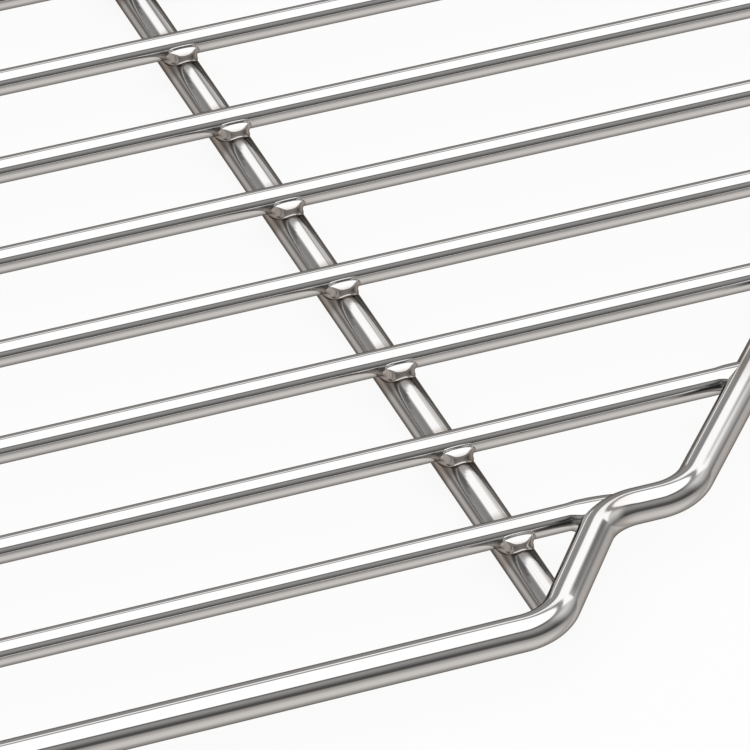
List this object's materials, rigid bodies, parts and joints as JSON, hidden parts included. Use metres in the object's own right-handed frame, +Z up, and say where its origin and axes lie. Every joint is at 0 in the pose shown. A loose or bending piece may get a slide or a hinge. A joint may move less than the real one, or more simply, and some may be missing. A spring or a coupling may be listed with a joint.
{
  "type": "wire rack",
  "caption": "Flat welded oven rack: round steel wires inside a bent rod rim with stepped front corners, held by crossbars beneath.",
  "frame": {"origin": "middle of the rack's outline in plan, level with the underside of the crossbars, on which it stands", "axes": "+X along the wires towards the right side, +Y from the stepped front to the back, +Z up through the rack"},
  "size_m": [0.454, 0.3872, 0.0101],
  "materials": {
    "rim_steel": "bright polished stainless rod, faintly drawn along its length",
    "crossbar_steel": "bright polished stainless rod with squeezed weld beads",
    "wire_steel": "bright polished stainless wire"
  },
  "bodies": {
    "root": {"rim": "rim_steel", "crossbar_left": "crossbar_steel", "crossbar_right": "crossbar_steel", "wire_01": "wire_steel", "wire_02": "wire_steel", "wire_03": "wire_steel", "wire_04": "wire_steel", "wire_05": "wire_steel", "wire_06": "wire_steel", "wire_07": "wire_steel", "wire_08": "wire_steel", "wire_09": "wire_steel", "wire_10": "wire_steel", "wire_11": "wire_steel", "wire_12": "wire_steel", "wire_13": "wire_steel", "wire_14": "wire_steel"}
  },
  "joints": []
}
